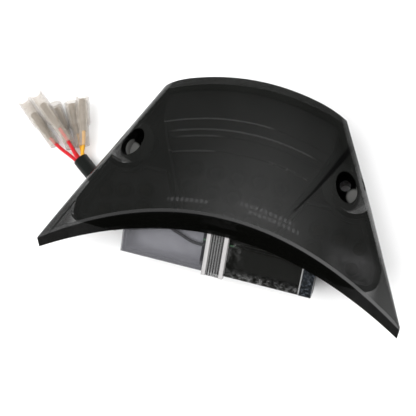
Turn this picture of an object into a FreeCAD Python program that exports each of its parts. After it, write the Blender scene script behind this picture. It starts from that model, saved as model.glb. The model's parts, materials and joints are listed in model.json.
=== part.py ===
"""Motorcycle tail light with a smoked lens, plate-light window, LED boards, cable and bullet connectors.

Millimetres. X runs across the lamp, Y from the plate-light window to the narrow end, and Z up from
the housing's flat back to the lens. The lamp lies on its back with its lead beside it. Lengths below
are in a working frame whose Y starts at the line between the lens tips. The export moves Y so that
the origin is at the middle of the lamp's box, on its back face.
"""
import FreeCAD, Part
import math
import os

# ---- lens outline, seen from above -------------------------------------------------------------
TIP_X = 90.0          # half the width across the lens tips
CORNER_X = 48.2       # half the width at the narrow end, before the side edges are rounded
CORNER_Y = 87.2       # where the side edges end
BACK_Y = 97.5         # middle of the narrow end
FRONT_Y = 30.4        # middle of the front edge; its ends are at the tips
SKIRT_Y = 20.9        # middle of the skirt's lower edge
SKIRT_TIP_Y = -5.6    # the skirt's lower edge at the tips
SKIRT_SLOPE = 0.85    # how far the skirt leans back for each millimetre up
LAND_SLOPE = 3.2      # the same for the narrow land above the skirt
FAR = 130.0           # cutting solids reach this far from the middle

# ---- lens heights ------------------------------------------------------------------------------
RIM_Z = 27.0          # lower rim of the lens
CROWN_RISE = 10.2     # lens height over the rim at the tips' line, on the middle line
CROWN_FALL = 0.038    # how much the crown drops for each millimetre towards the narrow end
CROWN_BEND = 0.000605  # how much the lens drops to the sides: millimetres for each x squared
LENS_WALL = 2.4
SHOULDER_TIP_R = 1.6  # rounding of the side edges, growing from the tips ...
SHOULDER_END_R = 13.0  # ... to the narrow end
SHOULDER_MIN_R = 0.4
SIDE_START_Y = -8.0
SIDE_END_Y = 101.0

# ---- screw wells in the lens -------------------------------------------------------------------
WELL_X = 53.2
WELL_Y = 56.2
WELL_LONG_R = 7.6     # half length of the oval mouth, along the side edge
WELL_SHORT_R = 4.7
WELL_WALL = 1.3
WELL_FLOOR_Z = 17.0
WELL_FLOOR = 1.6
SCREW_OFFSET = 3.0    # the screw sits this far from the oval's middle, towards the narrow end
SCREW_HOLE_R = 2.75

# ---- housing -----------------------------------------------------------------------------------
TUB_INSET = 1.8       # the tub's wall lies this far inside the lens outline
TUB_WALL = 2.2
TUB_X = 77.0          # the tub stops here, short of the lens tips
TUB_Y = 11.5
TUB_CORNER_R = 6.0
TUB_FLOOR_Z = 12.0
GASKET = 1.0
NOTCH_R = 8.8         # the tub bends round each screw well
NOTCH_ALONG = 3.8
NOTCH_OUT = 3.5
BASE_X = 36.0         # half width of the compartment under the tub
BASE_Y0 = 9.0
BASE_Y1 = 79.0
BASE_CORNER_R = 5.0
BASE_WALL = 2.2
BOSS_R = 6.4
BOSS_Z0 = 4.0
LINK_WIDTH = 3.0
CLEAR = 0.3
POSTS = ((20.0, 27.6), (39.0, 72.0), (51.5, 41.5), (70.5, 18.5))
POST_R = 3.0

# ---- rubber dampers and steel collars in the bosses --------------------------------------------
COLLAR_R = 4.0
COLLAR_HEAD_R = 6.2
COLLAR_HEAD = 1.2
DAMPER_R = 5.2
DAMPER_FLANGE = 1.6

# ---- plate-light compartment and window --------------------------------------------------------
WINDOW_X = 49.2       # half width of the window
WINDOW_SHIFT = -1.4   # its middle lies this far to the side
WINDOW_Y0 = 2.4       # lower edge of the window
WINDOW_Z0 = 18.0
WINDOW_Y1 = 23.6      # its slope ends here, behind the skirt
WINDOW_Z1 = 26.0
WINDOW_T = 2.0
BOX_Z0 = 5.0
BOX_Y0 = 5.6          # the front wall leans back to here at its foot
BOX_Y1 = 19.5
BOX_WALL = 1.3
BAR_X = 4.5           # distance of each raised bar from the window's middle
BAR_WIDTH = 2.0
BAR_RISE = 1.1
BAR_OVERHANG = 1.5
FLUTE_COUNT = 6
FLUTE_R = 0.75
FLUTE_SINK = 0.3
STRIP_WIDTH = 5.8     # textured strip at the window's right end
STRIP_RISE = 0.35
RIDGE_PITCH = 1.45
RIDGE_R = 0.5
MIRROR_GAP = 5.3      # the plate-light reflector lies this far under the window
MIRROR_T = 0.8
MIRROR_X = -10.0      # the reflector fills the compartment as far as here
PLATE_BOARD_X = 8.0
PLATE_BOARD_T = 0.8
PLATE_BOARD_Y = BOX_Y1 - BOX_WALL - PLATE_BOARD_T  # front face of the plate-light board
PLATE_BOARD_Z0 = 8.0
PLATE_BOARD_Z1 = 20.6
PLATE_LED_X = 3.4
PLATE_LED_Z = 13.6
PLATE_WIRE_R = 0.8
PLATE_WIRE_ROUTE = ((-30.0, 20.4, 20.4), (-22.5, 17.9, 19.5), (-15.5, 15.3, 18.6),
                    (-9.4, 15.0, 18.4), (-5.4, PLATE_BOARD_Y - PLATE_WIRE_R, 17.4))

# ---- boards, LEDs and reflectors ---------------------------------------------------------------
BOARD_Z = 15.6
BOARD_T = 1.6
BOARD_GAP = 0.6
REFLECTOR_Z = 19.0
REFLECTOR_T = 1.4
REFLECTOR_TOP_Z = 26.0
REFLECTOR_WALL = 1.3
TERRACE_STEP = 1.5
TERRACE_Y = (62.5, 70.0, 73.0, 78.3)
LED_R = 2.5
LED_FLANGE_R = 2.9
LED_FLANGE = 1.0
LED_BODY = 6.1
LED_HOLE_R = 3.1
DISH_R = 4.9
TAIL_ROWS = ((31.0, 3), (41.0, 5), (51.0, 5))
TAIL_PITCH = 11.0
PARTITION = ((22.0, 22.0), (29.5, 38.5), (40.5, 61.5), (44.5, 72.0), (47.0, 110.0))
PARTITION_T = 2.0
SIGNAL_END_Y = 47.5
SIGNAL_LEDS = ((43.5, 25.5), (53.5, 22.5), (63.5, 20.5), (44.5, 35.0), (55.5, 33.0), (65.0, 30.5))
SCREW_HEAD_R = 2.6
SCREW_HEAD = 1.7
SCREW_R = 1.3
SCREW_LENGTH = 4.6
RESISTOR_R = 1.25
RESISTOR_LENGTH = 6.5
RESISTOR_PITCH = 5.0
RESISTOR_COUNT = 8
RESISTOR_Y = 60.0
DIODE_R = 1.35
DIODE_LENGTH = 4.6
DIODE_Y = 46.0
DIODE_COUNT = 5
PART_DROP = 2.4       # axial parts hang this far under the board
PIN_R = 0.35

# ---- lead --------------------------------------------------------------------------------------
SHEATH_R = 4.2
SHEATH_BORE_R = 3.4
WIRE_R = 0.95
WIRE_RING_R = 2.0
WIRE_START = 1.0      # the wires begin this far after the sheath's last bend point
TAIL_PLAY = 1.5       # the wires have turned into their sleeves this far inside the tails
WIRE_LAY = 25.0       # degrees that the bundle twists on the way to the mouth
EXIT_Y = 28.0
EXIT_Z = 7.1
NOSE_X = -40.5
SHEATH_ROUTE = ((NOSE_X, EXIT_Y, EXIT_Z), (-54.1, EXIT_Y, EXIT_Z), (-67.4, 30.4, 5.1),
                (-79.4, 36.7, 4.25), (-90.2, 44.8, 4.25))
GROMMET_R = 4.75
GROMMET_NECK_R = 4.1
GROMMET_FLANGE = 1.9
GROMMET_NOSE_R = 4.5
GROMMET_BORE_R = 3.3
INNER_X = -26.2       # the inner leads turn up to the board about here
INNER_SPREAD = 0.85   # how much their turning points follow their height

# Each lead wire: name, place in the bundle in degrees, the tail and head of its connector sleeve,
# and how deep the wire reaches into the sleeve.
LEADS = (
    ("red_1", 190.0, (-107.3, 49.3, 3.4), (-132.0, 70.1, 4.7), 9.0),
    ("red_2", 120.0, (-96.1, 51.9, 11.3), (-123.0, 73.9, 10.5), 13.6),
    ("red_3", 250.0, (-97.6, 49.7, 3.4), (-114.1, 71.9, 3.7), 10.8),
    ("yellow_1", 320.0, (-92.4, 52.0, 3.4), (-104.7, 74.7, 3.7), 11.0),
    ("yellow_2", 55.0, (-88.6, 52.1, 7.7), (-96.7, 77.8, 8.4), 12.2),
)
SLEEVE_TAIL_R = 2.8
SLEEVE_HEAD_R = 3.7
SLEEVE_BORE_R = 2.0
SLEEVE_CHAMBER_R = 2.9
SLEEVE_STEP = 0.40    # where the sleeve widens, as a part of its length
SLEEVE_CONE = 0.06    # length of the widening, the same way
CRIMP_R = 1.5
CRIMP_LENGTH = 5.5
BARREL_R = 2.0
BARREL_BORE_R = 1.6
BARREL_LENGTH = 12.0
TERMINAL_GRIP = 4.0   # the crimp covers this much of the wire
FIT = 0.01            # gap between the crimp and the wire
BEND_SHARE = 0.45     # share of the shorter run that a bend takes at each end

MIDDLE_Y = (SKIRT_TIP_Y + BACK_Y) / 2
UP = FreeCAD.Vector(0, 0, 1)
SKIRT_BEND = (SKIRT_Y - SKIRT_TIP_Y) / TIP_X ** 2
BACK_BEND = (BACK_Y - CORNER_Y) / CORNER_X ** 2
SIDE_LEAN = (TIP_X - CORNER_X) / CORNER_Y
SIDE_STRETCH = math.hypot(1.0, SIDE_LEAN)


def vec(x, y, z):
    return FreeCAD.Vector(x, y, z)


def box(x0, x1, y0, y1, z0, z1):
    return Part.makeBox(x1 - x0, y1 - y0, z1 - z0, vec(x0, y0, z0))


def prism(points, z0, z1):
    """Upright solid over a closed outline of (x, y) points."""
    corners = [vec(x, y, z0) for x, y in points]
    return Part.Face(Part.makePolygon(corners + corners[:1])).extrude(vec(0, 0, z1 - z0))


def rounded_box(x0, x1, y0, y1, z0, z1, radius):
    solid = box(x0, x1, y0, y1, z0, z1)
    upright = [e for e in solid.Edges if abs(e.tangentAt(e.FirstParameter).z) > 0.9]
    return solid.makeFillet(radius, upright)


def arch_solid(y_mid, bend, y_far, z0, z1, slope=0.0):
    """Everything between the curve y = y_mid - bend x^2 and y_far. It leans in Y by slope."""
    y_end = y_mid - bend * FAR ** 2
    curve = Part.BezierCurve()
    curve.setPoles([vec(-FAR, y_end, z0), vec(0, 2 * y_mid - y_end, z0), vec(FAR, y_end, z0)])
    lines = Part.makePolygon([vec(FAR, y_end, z0), vec(FAR, y_far, z0), vec(-FAR, y_far, z0),
                              vec(-FAR, y_end, z0)])
    wire = Part.Wire([curve.toShape()] + lines.Edges)
    height = z1 - z0
    return Part.Face(wire).extrude(vec(0, slope * height, height))


def front_solid(inset, z0, z1, slope=0.0):
    shift = inset * math.hypot(1.0, slope) + slope * (z0 - RIM_Z)
    return arch_solid(SKIRT_Y + shift, SKIRT_BEND, -2 * FAR, z0, z1, slope)


def back_solid(inset, z0, z1):
    return arch_solid(BACK_Y - inset, BACK_BEND, 2 * FAR, z0, z1)


def crown_z(x, y):
    """Height of the lens's outer face."""
    return RIM_Z + CROWN_RISE - CROWN_FALL * y - CROWN_BEND * x ** 2


def sky_solid(drop):
    """Everything above the lens's outer face lowered by drop."""
    y0 = -FAR
    z_mid = crown_z(0, y0) - drop
    z_end = crown_z(FAR, y0) - drop
    z_far = RIM_Z + FAR
    curve = Part.BezierCurve()
    curve.setPoles([vec(-FAR, y0, z_end), vec(0, y0, 2 * z_mid - z_end), vec(FAR, y0, z_end)])
    lines = Part.makePolygon([vec(FAR, y0, z_end), vec(FAR, y0, z_far), vec(-FAR, y0, z_far),
                              vec(-FAR, y0, z_end)])
    wire = Part.Wire([curve.toShape()] + lines.Edges)
    return Part.Face(wire).extrude(vec(0, 3 * FAR, -CROWN_FALL * 3 * FAR))


def side_x(y, inset):
    """Where the straight side edge lies, moved inwards by inset."""
    return TIP_X - SIDE_LEAN * y - inset * SIDE_STRETCH


def side_prism(inset, y0, y1, z0, z1):
    half0 = side_x(y0, inset)
    half1 = side_x(y1, inset)
    return prism([(-half0, y0), (half0, y0), (half1, y1), (-half1, y1)], z0, z1)


def lens_plug(inset, z0):
    """Solid under the lens's outer face, with every face moved inwards by inset."""
    plug = side_prism(inset, SIDE_START_Y, SIDE_END_Y, z0, RIM_Z + 2 * CROWN_RISE)
    plug = plug.cut(sky_solid(inset))
    shoulders = []
    for edge in plug.Edges:
        middle = edge.valueAt((edge.FirstParameter + edge.LastParameter) / 2)
        on_side = abs(middle.x) > CORNER_X and abs(middle.y - SIDE_START_Y) > 1.0
        if on_side and abs(middle.z - (crown_z(middle.x, middle.y) - inset)) < 0.5:
            shoulders.append(edge)
    tip_r = max(SHOULDER_TIP_R - inset, SHOULDER_MIN_R)
    end_r = SHOULDER_END_R - inset
    for edge in shoulders:
        starts_at_tip = edge.valueAt(edge.FirstParameter).y < edge.valueAt(edge.LastParameter).y
        radii = (tip_r, end_r) if starts_at_tip else (end_r, tip_r)
        match = [e for e in plug.Edges if e.CenterOfMass.distanceToPoint(edge.CenterOfMass) < 0.01]
        plug = plug.makeFillet(radii[0], radii[1], match[:1])
    half = TIP_X - inset
    plug = plug.common(box(-half, half, -FAR, FAR, z0, RIM_Z + 2 * CROWN_RISE))
    plug = plug.cut(front_solid(inset, z0, RIM_Z + 2 * CROWN_RISE, SKIRT_SLOPE))
    plug = plug.cut(back_solid(inset, z0, RIM_Z + 2 * CROWN_RISE))
    return plug


def land_solid():
    """Everything in front of the narrow, flatter land along the top of the skirt."""
    mid = FRONT_Y - LAND_SLOPE * (CROWN_RISE - CROWN_FALL * FRONT_Y)
    tip = -LAND_SLOPE * (CROWN_RISE - CROWN_BEND * TIP_X ** 2)
    bend = (mid - tip) / TIP_X ** 2
    return arch_solid(mid, bend, -6 * FAR, RIM_Z, RIM_Z + 2 * CROWN_RISE, LAND_SLOPE)


def well_centre(side):
    return vec(side * WELL_X, WELL_Y, 0)


def along_side(side):
    """Unit vector along the side edge, towards the narrow end."""
    return vec(-side * SIDE_LEAN / SIDE_STRETCH, 1 / SIDE_STRETCH, 0)


def out_of_side(side):
    return vec(side / SIDE_STRETCH, SIDE_LEAN / SIDE_STRETCH, 0)


def screw_centre(side):
    return well_centre(side) + along_side(side) * SCREW_OFFSET


def well_oval(side, grow, z0, z1):
    """Upright oval solid on a well's axis, its long side along the lens's side edge."""
    centre = well_centre(side) + UP * z0
    circle = Part.Ellipse(centre, WELL_LONG_R + grow, WELL_SHORT_R + grow)
    wire = Part.Wire([circle.toShape()])
    turn = math.degrees(math.atan2(along_side(side).y, along_side(side).x))
    wire.rotate(centre, UP, turn)
    return Part.Face(wire).extrude(vec(0, 0, z1 - z0))


def upright(radius, centre, z0, z1):
    return Part.makeCylinder(radius, z1 - z0, vec(centre.x, centre.y, z0))


def tub_prism(inset, z0, z1):
    """Upright solid over the tub's outline moved inwards by inset."""
    total = TUB_INSET + inset
    solid = side_prism(total, SIDE_START_Y, SIDE_END_Y, z0, z1)
    solid = solid.cut(front_solid(total, z0, z1)).cut(back_solid(total, z0, z1))
    half = TUB_X - inset
    corner = max(TUB_CORNER_R - inset, 1.0)
    solid = solid.common(rounded_box(-half, half, TUB_Y + inset, 2 * FAR, z0, z1, corner))
    for side in (-1, 1):
        shift = out_of_side(side) * NOTCH_OUT - along_side(side) * NOTCH_ALONG
        solid = solid.cut(upright(NOTCH_R + inset, well_centre(side) + shift, z0, z1))
    return solid


def tub_ring(outer, inner, z0, z1):
    return tub_prism(outer, z0, z1).cut(tub_prism(inner, z0, z1))


def smoked_lens():
    top = RIM_Z + 2 * CROWN_RISE
    tall = lens_plug(0.0, BOSS_Z0).cut(land_solid())
    lens = tall.common(box(-FAR, FAR, -FAR, FAR, RIM_Z, top))
    lens = lens.cut(lens_plug(LENS_WALL, BOSS_Z0))
    rib = tub_ring(0.0, TUB_WALL, RIM_Z, top).common(tall)
    lens = lens.fuse(rib)
    for side in (-1, 1):
        lens = lens.fuse(well_oval(side, WELL_WALL, WELL_FLOOR_Z, top).common(tall))
    for side in (-1, 1):
        lens = lens.cut(well_oval(side, 0.0, WELL_FLOOR_Z + WELL_FLOOR, top))
        lens = lens.cut(upright(SCREW_HOLE_R, screw_centre(side), BOSS_Z0, top))
    return lens.removeSplitter()


def window_frame():
    """Unit vectors up the window's slope and out of its face, and the length of the slope."""
    run = vec(0, WINDOW_Y1 - WINDOW_Y0, WINDOW_Z1 - WINDOW_Z0)
    length = run.Length
    run.normalize()
    return run, vec(0, -run.z, run.y), length


def window_slab(low, high, x0, x1, start=0.0):
    """Slab along the window's slope, from low to high above its outer face."""
    run, normal, length = window_frame()
    foot = vec(x0, WINDOW_Y0, WINDOW_Z0) + run * start
    head = vec(x0, WINDOW_Y0, WINDOW_Z0) + run * length
    corners = [foot + normal * low, head + normal * low, head + normal * high, foot + normal * high]
    return Part.Face(Part.makePolygon(corners + corners[:1])).extrude(vec(x1 - x0, 0, 0))


def plate_window():
    run, normal, length = window_frame()
    end = WINDOW_SHIFT + WINDOW_X
    window = window_slab(-WINDOW_T, 0.0, WINDOW_SHIFT - WINDOW_X, end)
    foot = vec(0, WINDOW_Y0, WINDOW_Z0)
    for side in (-1, 1):
        middle = WINDOW_SHIFT + side * BAR_X
        window = window.fuse(window_slab(-WINDOW_T, BAR_RISE, middle - BAR_WIDTH / 2,
                                         middle + BAR_WIDTH / 2, -BAR_OVERHANG))
    window = window.fuse(window_slab(-WINDOW_T, STRIP_RISE, end - STRIP_WIDTH, end))
    for number in range(int(length / RIDGE_PITCH)):
        start = foot + run * (RIDGE_PITCH * (number + 0.6)) + vec(end - STRIP_WIDTH, 0, 0)
        window = window.fuse(Part.makeCylinder(RIDGE_R, STRIP_WIDTH, start, vec(1, 0, 0)))
    tongue = WINDOW_SHIFT - BAR_X
    window = window.fuse(window_slab(-WINDOW_T, 0.0, tongue, tongue + 2 * BAR_X, -BAR_OVERHANG))
    pitch = (2 * BAR_X - BAR_WIDTH) / FLUTE_COUNT
    for number in range(FLUTE_COUNT):
        x = tongue + BAR_WIDTH / 2 + pitch * (number + 0.5)
        start = foot + vec(x, 0, 0) - run * BAR_OVERHANG - normal * FLUTE_SINK
        window = window.fuse(Part.makeCylinder(FLUTE_R, length + BAR_OVERHANG, start, run))
    window = window.cut(tub_prism(-CLEAR / 2, BOX_Z0, RIM_Z + 1))
    return window.cut(box(-FAR, FAR, -FAR, FAR, RIM_Z - CLEAR / 2, 2 * RIM_Z)).removeSplitter()


def plate_box(inset):
    """The solid of the plate-light compartment, up to the window, with its walls moved inwards."""
    outline = [(WINDOW_Y0 + inset, WINDOW_Z0 + 2 * RIM_Z), (WINDOW_Y0 + inset, WINDOW_Z0 - WINDOW_T),
               (BOX_Y0 + inset, BOX_Z0 + inset), (BOX_Y1 - inset, BOX_Z0 + inset),
               (BOX_Y1 - inset, TUB_FLOOR_Z - inset), (2 * WINDOW_Y1, TUB_FLOOR_Z - inset),
               (2 * WINDOW_Y1, WINDOW_Z0 + 2 * RIM_Z)]
    half = WINDOW_X - inset
    corners = [vec(WINDOW_SHIFT - half, y, z) for y, z in outline]
    solid = Part.Face(Part.makePolygon(corners + corners[:1])).extrude(vec(2 * half, 0, 0))
    solid = solid.cut(window_slab(-WINDOW_T, 4 * RIM_Z, -FAR, FAR, -RIM_Z))
    tub = tub_prism(-inset, TUB_FLOOR_Z - inset, 4 * RIM_Z)
    return solid.cut(tub).common(box(-FAR, FAR, -FAR, BACK_Y / 2, BOX_Z0, RIM_Z - GASKET))


def housing():
    rim = RIM_Z - GASKET
    tub = tub_prism(0.0, TUB_FLOOR_Z, rim)
    base = rounded_box(-BASE_X, BASE_X, BASE_Y0, BASE_Y1, 0, TUB_FLOOR_Z + TUB_WALL, BASE_CORNER_R)
    base = base.cut(box(-FAR, FAR, -FAR, BOX_Y1, BOX_Z0, FAR))
    shell = tub.fuse(base)
    for side in (-1, 1):
        centre = screw_centre(side)
        inwards = out_of_side(side) * -(BOSS_R + LINK_WIDTH)
        across = along_side(side) * (LINK_WIDTH / 2)
        link = prism([(centre - across)[0:2], (centre + across)[0:2],
                      (centre + across + inwards)[0:2], (centre - across + inwards)[0:2]],
                     BOSS_Z0 + BASE_WALL, TUB_FLOOR_Z + TUB_WALL)
        shell = shell.fuse(link).fuse(upright(BOSS_R, centre, BOSS_Z0, WELL_FLOOR_Z))
    shell = shell.cut(tub_prism(TUB_WALL, TUB_FLOOR_Z + TUB_WALL, RIM_Z + 1))
    cavity = rounded_box(-BASE_X + BASE_WALL, BASE_X - BASE_WALL, BASE_Y0, BASE_Y1 - BASE_WALL,
                         BASE_WALL, TUB_FLOOR_Z + 2 * TUB_WALL, BASE_CORNER_R - BASE_WALL)
    shell = shell.cut(cavity.common(tub_prism(TUB_WALL, 0, RIM_Z)))
    for side in (-1, 1):
        centre = screw_centre(side)
        shell = shell.fuse(upright(BOSS_R, centre, BOSS_Z0, WELL_FLOOR_Z))
        for x, y in POSTS:
            foot = BASE_WALL / 2 if x < BASE_X else TUB_FLOOR_Z + TUB_WALL / 2
            shell = shell.fuse(upright(POST_R, vec(side * x, y, 0), foot, BOARD_Z))
    for side in (-1, 1):
        shell = shell.cut(well_oval(side, WELL_WALL + CLEAR / 2, WELL_FLOOR_Z, RIM_Z + 1))
        shell = shell.cut(upright(DAMPER_R, screw_centre(side), BOSS_Z0 - 1, WELL_FLOOR_Z + 1))
        for x, y in POSTS:
            shell = shell.cut(upright(SCREW_R, vec(side * x, y, 0), BOARD_Z + BOARD_T - SCREW_LENGTH, RIM_Z))
    shell = shell.fuse(plate_box(0.0).cut(plate_box(BOX_WALL)))
    shell = shell.cut(tube(bent_path(PLATE_WIRE_ROUTE)[0], PLATE_WIRE_R))
    hole = vec(-BASE_X - 1, EXIT_Y, EXIT_Z)
    shell = shell.cut(Part.makeCylinder(GROMMET_NECK_R, 2 * BASE_WALL + 1, hole, vec(1, 0, 0)))
    return shell.removeSplitter()


def lens_gasket():
    ring = tub_ring(0.0, TUB_WALL, RIM_Z - GASKET, RIM_Z)
    for side in (-1, 1):
        ring = ring.cut(well_oval(side, WELL_WALL + CLEAR / 2, 0, 2 * RIM_Z))
    return biggest_solids(ring)


def biggest_solids(shape):
    """The shape's solids without the crumbs that a cut can leave."""
    top = max(solid.Volume for solid in shape.Solids)
    return [solid for solid in shape.Solids if solid.Volume > top / 50]


def partition_region(gap, z0, z1):
    """Upright solid between the two partition lines, moved inwards by gap."""
    right = [(x - gap, y) for x, y in PARTITION]
    left = [(-x, y) for x, y in reversed(right)]
    return prism(right + left, z0, z1)


def tail_region(inset, z0, z1):
    region = tub_prism(TUB_WALL + inset, z0, z1)
    return region.common(partition_region(PARTITION_T / 2 + inset, z0, z1))


def signal_region(side, inset, z0, z1):
    region = tub_prism(TUB_WALL + inset, z0, z1)
    region = region.cut(partition_region(-PARTITION_T / 2 - inset, z0, z1))
    region = region.cut(well_oval(side, WELL_WALL + 1.0 + inset, z0, z1))
    region = region.cut(upright(BOSS_R + 0.5 + inset, screw_centre(side), z0, z1))
    low, high = sorted((0.0, side * FAR))
    region = region.common(box(low, high, -FAR, SIGNAL_END_Y - inset, z0, z1))
    return biggest_solids(region)[0]


def dish(x, y):
    """The cone and the hole that a reflector has round one LED."""
    cone = Part.makeCone(LED_HOLE_R, DISH_R, REFLECTOR_T, vec(x, y, REFLECTOR_Z))
    return cone.fuse(upright(LED_HOLE_R, vec(x, y, 0), REFLECTOR_Z - 1, REFLECTOR_Z + REFLECTOR_T))


def tail_spots():
    return [(TAIL_PITCH * (k - (count - 1) / 2), y) for y, count in TAIL_ROWS for k in range(count)]


def tail_reflector():
    floor_top = REFLECTOR_Z + REFLECTOR_T
    tray = tail_region(BOARD_GAP, REFLECTOR_Z, REFLECTOR_TOP_Z)
    tray = tray.cut(tail_region(BOARD_GAP + REFLECTOR_WALL, floor_top, FAR))
    inner = tail_region(BOARD_GAP + REFLECTOR_WALL / 2, REFLECTOR_Z, REFLECTOR_TOP_Z - CLEAR)
    for number, y in enumerate(TERRACE_Y, 1):
        step = arch_solid(y, BACK_BEND, 2 * FAR, REFLECTOR_Z, floor_top + TERRACE_STEP * number)
        tray = tray.fuse(step.common(inner))
    for x, y in tail_spots():
        tray = tray.cut(dish(x, y))
    for side in (-1, 1):
        for x, y in POSTS[:2]:
            tray = tray.cut(upright(SCREW_HEAD_R + 0.4, vec(side * x, y, 0), 0, REFLECTOR_Z + 0.4))
    return tray.removeSplitter()


def signal_reflector(side):
    tray = signal_region(side, BOARD_GAP, REFLECTOR_Z, REFLECTOR_TOP_Z)
    tray = tray.cut(signal_region(side, BOARD_GAP + REFLECTOR_WALL, REFLECTOR_Z + REFLECTOR_T, FAR))
    for x, y in SIGNAL_LEDS:
        tray = tray.cut(dish(side * x, y))
    return tray.removeSplitter()


def drilled(board, spots):
    for x, y in spots:
        board = board.cut(upright(SCREW_R + 0.2, vec(x, y, 0), 0, FAR))
    return board


def led(x, y, z):
    """A 5 mm LED standing on z: flange, body and dome."""
    body = upright(LED_FLANGE_R, vec(x, y, 0), z, z + LED_FLANGE)
    body = body.fuse(upright(LED_R, vec(x, y, 0), z, z + LED_BODY))
    body = body.fuse(Part.makeSphere(LED_R, vec(x, y, z + LED_BODY)))
    return body.removeSplitter()


def board_screw(x, y):
    top = BOARD_Z + BOARD_T
    head = Part.makeCylinder(SCREW_HEAD_R, SCREW_HEAD, vec(x, y, top))
    rim = [e for e in head.Edges if abs(e.CenterOfMass.z - top - SCREW_HEAD) < 0.01]
    head = head.makeFillet(0.6, rim)
    slot = box(x - SCREW_HEAD_R * 0.6, x + SCREW_HEAD_R * 0.6, y - 0.3, y + 0.3, top + 0.8, top + 3)
    cross = slot.fuse(slot.rotated(vec(x, y, 0), UP, 90))
    shank = upright(SCREW_R, vec(x, y, 0), top - SCREW_LENGTH, top)
    return head.cut(cross).fuse(shank).removeSplitter()


def axial_part(x, y, radius, length):
    """A resistor or diode hanging under the board on its two bent leads."""
    z = BOARD_Z - PART_DROP
    body = Part.makeCylinder(radius, length, vec(x, y - length / 2, z), vec(0, 1, 0))
    body = body.makeFillet(radius * 0.35, [e for e in body.Edges if e.Closed])
    reach = length / 2 + 1.2
    lead = Part.makeCylinder(PIN_R, 2 * reach, vec(x, y - reach, z), vec(0, 1, 0))
    body = body.fuse(lead)
    for end in (-reach, reach):
        body = body.fuse(upright(PIN_R, vec(x, y + end, 0), z, BOARD_Z))
        body = body.fuse(Part.makeSphere(PIN_R, vec(x, y + end, z)))
    return body.removeSplitter()


def row_of_parts(count, y, radius, length):
    first = -RESISTOR_PITCH * (count - 1) / 2
    return [axial_part(first + RESISTOR_PITCH * n, y, radius, length) for n in range(count)]


def damper(side):
    centre = screw_centre(side)
    ring = upright(DAMPER_R, centre, BOSS_Z0, WELL_FLOOR_Z)
    ring = ring.fuse(upright(COLLAR_HEAD_R, centre, BOSS_Z0 - DAMPER_FLANGE, BOSS_Z0))
    return ring.cut(upright(COLLAR_R, centre, 0, 2 * RIM_Z)).removeSplitter()


def collar(side):
    centre = screw_centre(side)
    low = BOSS_Z0 - DAMPER_FLANGE
    tube = upright(COLLAR_R, centre, low, WELL_FLOOR_Z)
    tube = tube.fuse(upright(COLLAR_HEAD_R, centre, low - COLLAR_HEAD, low))
    return tube.cut(upright(SCREW_HOLE_R, centre, 0, 2 * RIM_Z)).removeSplitter()


def plate_reflector():
    sheet = window_slab(-MIRROR_GAP - MIRROR_T, -MIRROR_GAP, -FAR, MIRROR_X)
    return biggest_solids(sheet.common(plate_box(BOX_WALL + CLEAR / 2)))[0]


def plate_board():
    return box(WINDOW_SHIFT - PLATE_BOARD_X, WINDOW_SHIFT + PLATE_BOARD_X,
               PLATE_BOARD_Y, PLATE_BOARD_Y + PLATE_BOARD_T, PLATE_BOARD_Z0, PLATE_BOARD_Z1)


def plate_led(x):
    return led(0, 0, 0).rotated(vec(0, 0, 0), vec(1, 0, 0), 90).translated(
        vec(WINDOW_SHIFT + x, PLATE_BOARD_Y, PLATE_LED_Z))


def bent_path(points):
    """Straight runs joined by tangent arcs, and the arcs' radii."""
    points = [vec(*p) for p in points]
    edges = []
    radii = []
    here = points[0]
    for before, corner, after in zip(points, points[1:], points[2:]):
        into = corner - before
        out = after - corner
        reach = BEND_SHARE * min(into.Length, out.Length)
        half_turn = into.getAngle(out) / 2
        radii.append(reach / math.tan(half_turn))
        into.normalize()
        out.normalize()
        start = corner - into * reach
        end = corner + out * reach
        aside = out - into
        aside.normalize()
        middle = corner + aside * (radii[-1] * (1 / math.cos(half_turn) - 1))
        edges += [Part.LineSegment(here, start).toShape(), Part.Arc(start, middle, end).toShape()]
        here = end
    edges.append(Part.LineSegment(here, points[-1]).toShape())
    return edges, radii


def tube(edges, radius):
    """Round solid along a list of joined edges."""
    start = edges[0].valueAt(edges[0].FirstParameter)
    along = edges[0].tangentAt(edges[0].FirstParameter)
    ring = Part.Wire([Part.makeCircle(radius, start, along)])
    return Part.Wire(edges).makePipeShell([ring], True, False)


def cord(name, points, radius):
    edges, radii = bent_path(points)
    solid = tube(edges, radius)
    length = sum(edge.Length for edge in edges)
    share = solid.Volume / (math.pi * radius ** 2 * length)
    bends = ", ".join(f"{r:.1f}" for r in radii)
    print(f"{name}: length {length:.1f}, bend radii {bends}, volume over section x length {share:.3f}")
    return solid, edges


def cable_sheath():
    solid, edges = cord("cable_sheath", SHEATH_ROUTE, SHEATH_R)
    return solid.cut(tube(edges[-2:], SHEATH_BORE_R))


def cable_grommet():
    axis = vec(1, 0, 0)

    def ring(radius, x0, x1):
        return Part.makeCylinder(radius, x1 - x0, vec(x0, EXIT_Y, EXIT_Z), axis)

    outer = -BASE_X - GROMMET_FLANGE
    inner = -BASE_X + BASE_WALL
    body = ring(GROMMET_R, outer, -BASE_X).fuse(ring(GROMMET_NECK_R, -BASE_X, inner))
    body = body.fuse(ring(GROMMET_R, inner, inner + GROMMET_FLANGE))
    nose = Part.makeCone(GROMMET_NOSE_R, GROMMET_R, outer - NOSE_X, vec(NOSE_X, EXIT_Y, EXIT_Z), axis)
    body = body.fuse(nose).cut(ring(GROMMET_BORE_R, NOSE_X - 1, inner + 2 * GROMMET_FLANGE))
    return body.removeSplitter()


def inner_lead(angle):
    """One wire from the grommet up to the underside of the tail board."""
    aside = WIRE_RING_R * math.cos(math.radians(angle))
    above = WIRE_RING_R * math.sin(math.radians(angle))
    y = EXIT_Y + aside
    z = EXIT_Z + above
    turn_x = INNER_X + above * INNER_SPREAD
    route = [(NOSE_X + CLEAR, y, z), (turn_x, y, z), (turn_x, y, BOARD_Z)]
    return tube(bent_path(route)[0], WIRE_R)


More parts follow.
